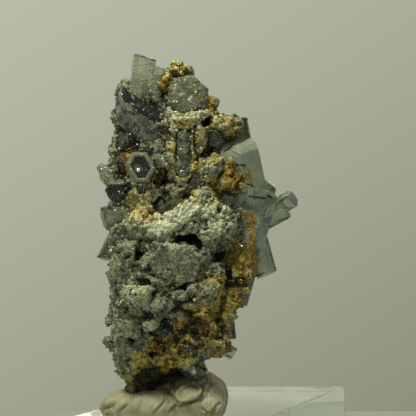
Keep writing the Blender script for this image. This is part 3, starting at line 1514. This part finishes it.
@dataclass
class Rock:
    """The matrix: a finely broken body, blocky albite grains, limonite crumbs and dark flakes.

    Densities are counts on a square millimetre. The sizes of grains and crumbs are the middle and the
    spread of a log-normal draw, which the limits hold in millimetres.
    """

    breaks: tuple = (Layer(0.75, 3.6, 50), Layer(0.36, 1.5, 90))
    fine_break: Layer = Layer(0.16, 0.75, 130)
    shade_layers: tuple = (Layer(0.6, 0.8, 61), Layer(0.4, 3.0, 63))
    clearance: float = 0.35
    room_reach: float = 1.6
    grid: float = 0.312
    kept_share: float = 0.49
    socket_reach: float = 0.9
    cover_reach: float = 0.8
    grain_density: float = 3.65
    grain_sizes: tuple = (-1.24, 0.38)
    grain_limits: tuple = (0.16, 0.85)
    fewer_on_rust: float = 0.45
    large_share: float = 0.03
    stained_share: float = 0.85
    sooty_share: float = 0.035
    glinting_share: float = 0.24
    crumb_density: float = 7.0
    crust_density: float = 25.0
    crumb_sizes: tuple = (-1.12, 0.3)
    crumb_limits: tuple = (0.18, 0.7)
    flake_density: float = 2.2
    flake_sizes: tuple = (0.25, 0.8)
    dust_density: float = 3.4
    seed: int = 3

    def build(self, crystals: list[bpy.types.Object]) -> None:
        """Builds and dresses the whole rock.

        Args:
            crystals: The dressed crystals, which the grains leave room for.
        """
        self.chance = np.random.default_rng(self.seed)
        self.crystals = crystals
        self.beryl = surface_of(crystals)
        self.albite = AlbiteFinish().material("sugary_albite")
        self.limonite = LimoniteFinish().material("limonite_crust")
        self.mica = MicaFinish().material("dark_mica")
        self.body = self.build_body()
        self.skin = surface_of([self.body])
        self.add_grains()
        self.add_crust()
        self.add_flakes()
        self.add_dust()

    def build_body(self) -> bpy.types.Object:
        """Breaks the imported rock's skin up finely.

        Returns:
            The body.
        """
        body = copy_of_node("matrix_rock", "rock_body")
        apply_modifier(body, "REMESH", mode="VOXEL", voxel_size=self.grid * MM)
        self.thin_sockets(body)
        places = vertex_places(body)
        normals = vertex_normals(body)
        shaped, calm, dark = self.forms(places, normals)
        rough = sum(layer.broken(places) for layer in self.breaks)
        rough -= 1.5 * soft_step((clouds(places, 2.6, 71) - 0.38) / 0.3)
        rough -= 0.8 * soft_step((clouds(places, 1.2, 77) - 0.4) / 0.3)
        fine = self.fine_break.broken(places)
        rise = shaped + (1 - calm) * rough + fine - 1.6 * stain(places, SOOT)
        socket = faces_something(self.beryl, places, normals, self.socket_reach)
        room = nearness(self.beryl, places, self.room_reach)
        rise = np.where(socket, 0, np.minimum(rise, np.maximum(room - self.clearance, 0)))
        move_vertices(body, places + normals * rise[:, None])
        shares = self.shares(vertex_places(body))
        shares["soot"] = np.maximum(shares["soot"], 0.92 * soft_step((-0.25 - rise) / 0.8))
        shares["soot"] = np.maximum(shares["soot"], 0.95 * dark)
        shares["soot"] = np.where(socket, 0.7, shares["soot"])
        self.body_shares = shares
        for name, values in shares.items():
            set_shares(body.data, name, values)
        set_shares(body.data, "glint", np.zeros(len(places)))
        body.data.materials.append(self.albite)
        activate(body)
        bpy.ops.object.shade_smooth_by_angle(angle=math.radians(30))
        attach(body, "root")
        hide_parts("matrix_rock")
        LOG.info("rock body: %d vertices, %d faces", len(places), len(body.data.polygons))
        return body

    def thin_sockets(self, body: bpy.types.Object) -> None:
        """Makes the mesh coarse in the sockets behind the crystals, where nothing of it shows.

        Args:
            body: The rock's body.
        """
        places = vertex_places(body)
        socket = faces_something(self.beryl, places, vertex_normals(body), self.socket_reach)
        group = body.vertex_groups.new(name="sockets")
        group.add(np.flatnonzero(socket).tolist(), 1.0, "REPLACE")
        apply_modifier(
            body, "DECIMATE", ratio=self.kept_share, vertex_group="sockets", vertex_group_factor=20
        )
        body.vertex_groups.clear()

    def forms(self, places: np.ndarray, normals: np.ndarray) -> tuple:
        """The hand-placed forms of the display side.

        Args:
            places: Millimetres from the seat.
            normals: Which way each looks.

        Returns:
            How far each stands out, how calm it is and how dark.
        """
        rise = np.zeros(len(places))
        calm = np.zeros(len(places))
        dark = np.zeros(len(places))
        front = soft_step((0.45 - normals[:, 1]) / 0.5) * soft_step((2 - places[:, 1]) / 4)
        wander = np.stack((clouds(places, 1.3, 21), clouds(places, 1.3, 22)), axis=1)
        flat = places[:, [0, 2]] + 0.3 * wander
        for form in FORMS:
            angle = math.radians(form.turn)
            x = flat[:, 0] - form.x
            z = flat[:, 1] - form.z
            across = (x * math.cos(angle) + z * math.sin(angle)) / form.across
            up = (z * math.cos(angle) - x * math.sin(angle)) / form.up
            away = (across**6 + up**6) ** (1 / 6)
            edge = 0.35 / max(min(form.across, form.up), 0.6)
            inside = front * soft_step((1 + edge - away) / (2 * edge))
            held = (np.clip(across, -1, 1), np.clip(up, -1, 1))
            rise += inside * (form.rise + form.lean[0] * held[0] + form.lean[1] * held[1])
            calm = np.maximum(calm, inside * form.calm)
            dark = np.maximum(dark, inside * form.dark)
        return rise, calm, dark

    def shares(self, places: np.ndarray) -> dict[str, np.ndarray]:
        """How rusty, golden, creamy, dark and light the rock is at those places.

        Args:
            places: Millimetres from the seat.

        Returns:
            The shares by name.
        """
        tone = sum(layer.wavy(places) for layer in self.shade_layers)
        patchy = 0.95 + 0.5 * clouds(places, 0.9, 65)
        return {
            "rust": stain(places, RUST),
            "ochre": np.clip(stain(places, OCHRE) * patchy + 0.4 * clouds(places, 1.7, 67) - 0.08, 0, 1),
            "cream": stain(places, CREAM),
            "soot": 0.9 * stain(places, SOOT),
            "tone": tone,
        }

    def outer_sites(self, per_square: float) -> Sites:
        """Random places on the body that no crystal covers.

        Args:
            per_square: How many on a square millimetre.

        Returns:
            The sites.
        """
        sites = scatter(self.body, per_square, self.chance)
        return sites.kept(~faces_something(self.beryl, sites.points, sites.normals, self.cover_reach))

    def add_grains(self) -> None:
        """Strews blocky albite over the body, each grain stained as the body is there, more or less."""
        sites = self.outer_sites(self.grain_density)
        rust = self.body_shares["rust"][sites.vertices]
        sites = sites.kept(self.chance.random(len(rust)) > self.fewer_on_rust * rust)
        count = len(sites.points)
        shares = {name: values[sites.vertices] for name, values in self.body_shares.items()}
        sizes = np.clip(self.chance.lognormal(*self.grain_sizes, count), *self.grain_limits)
        sizes *= 1 + 0.35 * shares["cream"] + 0.5 * (self.chance.random(count) < self.large_share)
        shares["ochre"] = shares["ochre"] * (self.chance.random(count) < self.stained_share)
        sooty = self.chance.random(count) < self.sooty_share
        shares["soot"] = np.maximum(shares["soot"] * 0.9, 0.8 * sooty)
        own = self.chance.normal(0, 0.7, count)
        shares["tone"] = np.clip(own + 0.4 * shares["tone"], -1.6, 1.7)
        shares["glint"] = (self.chance.random(count) < self.glinting_share).astype(float)
        batch = GrainBatch(sites, sizes, shares)
        templates = block_templates(self.chance, 5)
        grain_pieces("albite_grains", batch, templates, self.albite, self.chance)

    def add_crust(self) -> None:
        """Crumbs of limonite where the rock is rusty, and as a crust on the crystals beside it."""
        sites = self.outer_sites(self.crumb_density)
        rust = self.body_shares["rust"][sites.vertices]
        golden = self.body_shares["ochre"][sites.vertices]
        over = [sites.kept(self.chance.random(len(rust)) < 0.8 * rust**1.5 + 0.12 * golden)]
        for prism, crystal in zip(PRISMS, self.crystals):
            if prism.clarity is Clarity.DARK:
                continue
            found = scatter(crystal, self.crust_density, self.chance)
            found = found.kept(~faces_something(self.skin, found.points, found.normals, self.cover_reach))
            rust = soft_step(2 * np.maximum(stain(found.points, RUST), stain(found.points, OCHRE)) - 1)
            near = nearness(self.skin, found.points, 2.5)
            likely = 0.18 * rust * soft_step(1.4 - near / 1.5)
            crust = stain(found.points, OCHRE, True) * (found.normals[:, 1] < 0.1)
            over.append(found.kept(self.chance.random(len(rust)) < np.maximum(likely, crust)))
        sites = joined(over)
        count = len(sites.points)
        sizes = np.clip(self.chance.lognormal(*self.crumb_sizes, count), *self.crumb_limits)
        shares = {
            "tone": self.chance.uniform(-1, 1, count),
            "soot": 0.6 * stain(sites.points, SOOT) + 0.6 * (self.chance.random(count) < 0.08),
        }
        batch = GrainBatch(sites, sizes, shares)
        templates = nodule_templates(self.chance, 4)
        grain_pieces("limonite_crumbs", batch, templates, self.limonite, self.chance)

    def on_second(self, prism: Prism, sites: Sites) -> np.ndarray:
        """Tells which sites lie on the part of a crystal that has the second finish.

        Args:
            prism: The crystal.
            sites: The sites on it.

        Returns:
            True or false for each.
        """
        if prism.second is None:
            return np.zeros(len(sites.points), dtype=bool)
        if prism.second_below is not None:
            return sites.points[:, 2] < prism.second_below
        return sites.normals @ np.array(Vector(prism.second_way).normalized()) > SECOND_FACING

    def add_flakes(self) -> None:
        """Dark flakes over the rock, most where it is sooty and in patches."""
        sites = self.outer_sites(self.flake_density)
        soot = self.body_shares["soot"][sites.vertices]
        patch = soft_step(clouds(sites.points, 3.0, 87) * 1.4 + 0.3)
        sites = sites.kept(self.chance.random(len(soot)) < 0.04 + 0.35 * soot + 0.25 * patch**3)
        count = len(sites.points)
        shares = {"tone": self.chance.uniform(0, 1, count)}
        sizes = self.chance.uniform(*self.flake_sizes, count)
        batch = GrainBatch(sites, sizes, shares)
        templates = flake_templates(self.chance, 3)
        grain_pieces("mica_flakes", batch, templates, self.mica, self.chance, -0.1)

    def add_dust(self) -> None:
        """Small pale grains on the crystals, most of them round the crystals' feet."""
        all_sites = []
        all_sizes = []
        for prism, crystal in zip(PRISMS, self.crystals):
            density = max(prism.specks, self.dust_density)
            found = scatter(crystal, density, self.chance)
            found = found.kept(~faces_something(self.skin, found.points, found.normals, self.cover_reach))
            near = nearness(self.skin, found.points, 1.5)
            drift = soft_step(0.5 + 1.6 * clouds(found.points, 1.4, 93))
            likely = prism.specks / density * drift
            likely = np.maximum(likely, 0.8 * soft_step(1.3 - near / 0.7)) * (1 - stain(found.points, SOOT))
            likely = np.where(self.on_second(prism, found), 0.4 * likely, likely)
            keep = self.chance.random(len(near)) < likely
            found = found.kept(keep)
            foot = soft_step(1.2 - near[keep] / 0.8)
            all_sites.append(found)
            all_sizes.append((0.11 + 0.3 * foot) * self.chance.uniform(0.6, 1.6, len(foot)))
        sites = joined(all_sites)
        sizes = np.concatenate(all_sizes)
        shares = self.shares(sites.points)
        shares["tone"] = self.chance.normal(0, 0.6, len(sizes))
        shares["cream"] = np.maximum(shares["cream"], 0.6)
        shares["soot"] = shares["soot"] * 0.3
        shares["glint"] = (self.chance.random(len(sizes)) < 0.25).astype(float)
        batch = GrainBatch(sites, sizes, shares)
        templates = block_templates(self.chance, 3)
        grain_pieces("crystal_dust", batch, templates, self.albite, self.chance)


@dataclass(frozen=True)
class Crease:
    """A crease in the putty's display side, from one place to another: how deep and how wide."""

    start: tuple
    end: tuple
    depth: float
    width: float


@dataclass
class Putty:
    """The lump of putty: kneaded, with a curled fold, creases and crumbs pressed in."""

    grid: float = 0.28
    shade: str = "#9c9680"
    paler: str = "#bcb69f"
    crumb_density: float = 1.7
    crumb_sizes: tuple = (0.14, 0.36)
    seed: int = 8
    kneading: tuple = (Layer(0.2, 3.4, 5), Layer(0.07, 1.2, 6), Layer(0.03, 0.6, 7))
    foot: float = 0.6
    deepest: float = -1.5
    coil_middle: tuple = (5.8, 6.5)
    coil_half: tuple = (3.0, 1.8)
    coil_tilt: float = 0.28
    hollow: tuple = (7.9, 9.3)
    creases: tuple = (
        Crease((-14.4, 2.0), (-10.2, 5.4), 1.2, 0.4),
        Crease((-10.8, 0.4), (-8.0, 5.0), 0.8, 0.4),
        Crease((-12.8, 5.2), (-8.8, 6.4), 0.6, 0.35),
        Crease((-6.0, 1.0), (-4.6, 5.8), 0.3, 0.5),
        Crease((-2.2, 1.6), (0.8, 5.8), 0.5, 0.3),
        Crease((0.4, 1.2), (2.8, 4.6), 0.6, 0.3),
        Crease((2.4, 3.7), (9.6, 5.9), 1.3, 0.35),
        Crease((0.4, 7.4), (3.0, 5.0), 0.9, 0.35),
        Crease((4.4, 2.8), (7.6, 2.4), 0.6, 0.3),
        Crease((9.2, 0.8), (12.8, 3.8), 0.7, 0.35),
        Crease((8.6, 3.6), (10.4, 1.6), 0.7, 0.3),
        Crease((9.8, 6.4), (10.6, 8.6), 0.6, 0.4),
    )

    def build(self) -> None:
        """Builds and dresses it."""
        putty = copy_of_node("putty", "kneaded_putty")
        apply_modifier(putty, "REMESH", mode="VOXEL", voxel_size=self.grid * MM)
        apply_modifier(putty, "SMOOTH", factor=0.5, iterations=9)
        places = vertex_places(putty)
        normals = vertex_normals(putty)
        rise = sum(layer.wavy(places) for layer in self.kneading)
        front = soft_step(0.6 - normals[:, 1] * 1.5)
        rise += front * (self.coil(places) + self.folds(places) + self.strokes(places))
        rise = np.where(places[:, 2] < self.foot, 0, np.maximum(rise, self.deepest))
        move_vertices(putty, places + normals * rise[:, None])
        putty.data.materials.append(self.finish())
        activate(putty)
        bpy.ops.object.shade_smooth()
        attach(putty, "root")
        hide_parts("putty")
        self.add_crumbs(putty)
        LOG.info("putty: %d vertices", len(places))

    def add_crumbs(self, putty: bpy.types.Object) -> None:
        """Ochre crumbs that the putty picked up.

        Args:
            putty: The dressed putty.
        """
        chance = np.random.default_rng(self.seed)
        sites = scatter(putty, self.crumb_density, chance)
        likely = soft_step((sites.points[:, 0] + 1) / 12) * 0.5 + 0.05
        likely += 0.5 * soft_step((sites.points[:, 2] - 7.0) / 2.0)
        sites = sites.kept((chance.random(len(likely)) < likely) & (sites.points[:, 2] > 1))
        count = len(sites.points)
        shares = {"tone": chance.uniform(-1, 1, count), "soot": 0.7 * (chance.random(count) < 0.3)}
        batch = GrainBatch(sites, chance.uniform(*self.crumb_sizes, count), shares)
        material = LimoniteFinish().material("picked_up_limonite")
        piece = grain_mesh("putty_crumbs", batch, nodule_templates(chance, 2), material, chance)

    def coil(self, places: np.ndarray) -> np.ndarray:
        """The curled fold: an oval ridge with a turn inside it.

        Args:
            places: Millimetres from the seat.

        Returns:
            How far each stands out.
        """
        x = places[:, 0] - self.coil_middle[0]
        z = places[:, 2] - self.coil_middle[1]
        along = (x * math.cos(self.coil_tilt) + z * math.sin(self.coil_tilt)) / self.coil_half[0]
        up = (z * math.cos(self.coil_tilt) - x * math.sin(self.coil_tilt)) / self.coil_half[1]
        away = np.hypot(along, up)
        outer = 0.9 * np.exp(-(((away - 0.86) / 0.16) ** 2))
        inner = 0.5 * np.exp(-(((np.hypot(along - 0.1, up) - 0.42) / 0.14) ** 2))
        groove = -0.9 * np.exp(-(((away - 1.12) / 0.1) ** 2))
        aside = (places[:, 0] - self.hollow[0]) / 3.4
        above = (places[:, 2] - self.hollow[1]) / 1.3
        return outer + inner + groove - 1.6 * np.exp(-(aside**2) - above**2)

    def strokes(self, places: np.ndarray) -> np.ndarray:
        """The fine ridges that fingers left, up and down the middle of the lump.

        Args:
            places: Millimetres from the seat.

        Returns:
            How far each stands out.
        """
        wavy = places[:, 0] + 0.25 * places[:, 2] + 0.5 * clouds(places, 2.2, 11)
        strong = soft_step(clouds(places, 3.2, 12) + 0.5)
        return 0.07 * strong * np.sin(wavy * math.tau / 0.9)

    def folds(self, places: np.ndarray) -> np.ndarray:
        """The creases, each with a slight lip above it.

        Args:
            places: Millimetres from the seat.

        Returns:
            How far each stands out, below nought in a crease.
        """
        total = np.zeros(len(places))
        flat = places[:, [0, 2]] + 0.35 * np.stack((clouds(places, 1.6, 8), clouds(places, 1.6, 9)), axis=1)
        for crease in self.creases:
            start, end = np.array(crease.start), np.array(crease.end)
            way = end - start
            share = np.clip(((flat - start) @ way) / (way @ way), 0, 1)
            offset = flat - start - share[:, None] * way
            away = np.sqrt((offset**2).sum(axis=1)) / crease.width
            above = offset[:, 1] > 0
            fade = np.sin(np.pi * np.clip(share, 0.06, 0.94)) ** 0.5
            total -= crease.depth * fade * np.exp(-(away**2))
            total += 0.4 * crease.depth * fade * above * np.exp(-((away - 1.8) ** 2))
        return total

    def finish(self) -> bpy.types.Material:
        """Warm grey mineral putty: dull, faintly greasy, with finger smears.

        Returns:
            The material.
        """
        material, paint = new_material("mineral_putty")
        place = paint.place()
        mottle = paint.noise(2.5, place, detail=5.0)
        fine = paint.noise(0.4, place, detail=2.0)
        colour = paint.ramp(mottle, (0.3, self.shade), (0.7, self.paler))
        paint.dress({"Base Color": colour, "Normal": paint.bump(fine, 0.25, 0.1), "Roughness": 0.6})
        return material


@dataclass(frozen=True)
class ClearBlock:
    """The display block: cast acrylic with flame-polished faces, faintly yellow in its thickness."""

    skin: str = "#fafaf5"
    absorbed: str = "#cdd2b8"
    density: float = 3.0
    smear_size: float = 9.0
    roughness: tuple = (0.01, 0.08)
    refraction: float = 1.49

    def build(self) -> None:
        """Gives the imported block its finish."""
        material, paint = new_material("cast_acrylic")
        smear = paint.noise(self.smear_size, paint.place(), detail=4.0)
        paint.dress(
            {
                "Base Color": srgb(self.skin),
                "Roughness": paint.ranged(smear, (0.45, 0.75), self.roughness),
                "IOR": self.refraction,
                "Transmission Weight": 1.0,
            }
        )
        paint.absorb(self.absorbed, self.density)
        for slot in frame["nodes"]["acrylic_block"].material_slots:
            slot.material = material
        LOG.info("clear block dressed")


@dataclass(frozen=True)
class Lamp:
    """A square soft lamp: its name, its place and side in millimetres, its watts and its colour."""

    name: str
    place: tuple
    side: float
    power: float
    colour: str


@dataclass
class Studio:
    """The pale table, the plain backdrop, the soft lights and the camera."""

    camera: tuple = (1.44, -354.8, 57.14)
    focal_pixels: float = 1400.0
    picture: float = 416.0
    sensor: float = 36.0
    horizon: float = 239.0
    table_far: float = 113.0
    table_near: float = -500.0
    table_top: float = -0.05
    table_thickness: float = 20.0
    table_width: float = 900.0
    table_colour: str = "#bcc2c6"
    backdrop: tuple = ("#8f927c", "#b8bba8")
    around: str = "#b3b797"
    around_strength: float = 0.15
    aim: tuple = (-8, -22, 60)
    lamps: tuple = (
        Lamp("key_light", (-120, -190, 460), 110, 1.85, "#f5fad8"),
        Lamp("rim_light", (260, 160, 330), 160, 0.3, "#f7fae4"),
        Lamp("front_light", (-60, -420, 175.5), 16, 0.1, "#f9fce0"),
    )

    def build(self, clear_pieces: list[bpy.types.Object]) -> None:
        """Sets the whole stage.

        Args:
            clear_pieces: The see-through pieces, which throw no shadow of the lamps.
        """
        self.add_table()
        self.light_world()
        clear = bpy.data.collections.new("lets_light_through")
        for obj in clear_pieces:
            clear.objects.link(obj)
        for item in clear.collection_objects:
            item.light_linking.link_state = "EXCLUDE"
        for lamp in self.lamps:
            self.add_lamp(lamp, clear)
        self.add_camera()
        bpy.context.scene.view_settings.view_transform = "Standard"
        bpy.context.scene.cycles.max_bounces = 14
        bpy.context.scene.cycles.transmission_bounces = 12

    def add_table(self) -> None:
        """A pale board that ends a little behind the block."""
        deselect_all()
        below = (self.table_top - self.table_thickness / 2) * MM
        middle = (0, (self.table_far + self.table_near) / 2 * MM, below)
        bpy.ops.mesh.primitive_cube_add(size=1.0, location=middle)
        table = bpy.context.object
        table.name = "table"
        length = self.table_far - self.table_near
        table.scale = (self.table_width * MM, length * MM, self.table_thickness * MM)
        bpy.ops.object.transform_apply(location=True, rotation=True, scale=True)
        apply_modifier(table, "BEVEL", width=1.5 * MM, segments=3)
        material, paint = new_material("matt_white_board")
        paint.dress({"Base Color": srgb(self.table_colour), "Roughness": 0.6})
        table.data.materials.append(material)

    def light_world(self) -> None:
        """A plain backdrop, lighter at the upper left, and a dimmer light from all round."""
        world = bpy.data.worlds.new("backdrop")
        bpy.context.scene.world = world
        world.use_nodes = True
        paint = Paint(world.node_tree)
        way = paint.place("Generated")
        slope = paint.along(way, (-0.6, 0.0, 1.0))
        seen = paint.mix(paint.ranged(slope, (-0.2, 0.24)), *self.backdrop)
        rays = add_node(world.node_tree, "ShaderNodeLightPath").outputs
        clear = paint.maths("MAXIMUM", rays["Is Camera Ray"], rays["Is Transmission Ray"])
        behind = paint.ranged(paint.along(way, (0.0, 1.0, 0.0)), (-0.2, 0.5), (0.15, 1))
        mirrored = paint.maths("MULTIPLY", rays["Is Glossy Ray"], behind)
        direct = paint.maths("MAXIMUM", clear, mirrored)
        dim = {"Color": srgb(self.around), "Strength": self.around_strength}
        all_round = paint.step("ShaderNodeBackground", {}, dim)
        paint.feed("Background", {"Color": seen})
        back = world.node_tree.nodes["Background"].outputs[0]
        blend = paint.step("ShaderNodeMixShader", {}, {0: direct, 1: all_round, 2: back})
        paint.feed("World Output", {"Surface": blend})

    def add_lamp(self, lamp: Lamp, clear: bpy.types.Collection) -> None:
        """Adds a lamp that faces the specimen.

        Args:
            lamp: Which one.
            clear: The pieces that throw no shadow of it.
        """
        light = bpy.data.lights.new(lamp.name, "AREA")
        light.size = lamp.side * MM
        light.energy = lamp.power
        light.color = srgb(lamp.colour)[:3]
        obj = bpy.data.objects.new(lamp.name, light)
        bpy.context.scene.collection.objects.link(obj)
        obj.light_linking.blocker_collection = clear
        obj.location = Vector(lamp.place) * MM
        way = Vector(self.aim) * MM - obj.location
        obj.rotation_euler = way.to_track_quat("-Z", "Y").to_euler()

    def add_camera(self) -> None:
        """Stands the camera where the photograph was taken from."""
        data = bpy.data.cameras.new("camera")
        data.sensor_width = self.sensor
        data.lens = self.sensor * self.focal_pixels / self.picture
        data.clip_start = 0.01
        obj = bpy.data.objects.new("camera", data)
        bpy.context.scene.collection.objects.link(obj)
        pitch = math.atan((self.horizon - self.picture / 2) / self.focal_pixels)
        obj.location = Vector(self.camera) * MM
        obj.rotation_euler = (math.pi / 2 + pitch, 0, 0)
        bpy.context.scene.camera = obj


def corners(box: tuple) -> list[list[float]]:
    """A box's lowest and highest corners as plain lists."""
    return [[float(v) for v in corner] for corner in box]


def main() -> None:
    """Builds every sub-assembly in order and notes the sizes."""
    logging.basicConfig(level=logging.INFO, format="%(message)s", stream=sys.stdout)
    crystals = Beryl().build()
    Veils().build()
    Cracks().build(crystals)
    Rock().build(crystals)
    Putty().build()
    ClearBlock().build()
    Studio().build([*crystals, frame["nodes"]["acrylic_block"]])


if __name__ == "__main__":
    main()
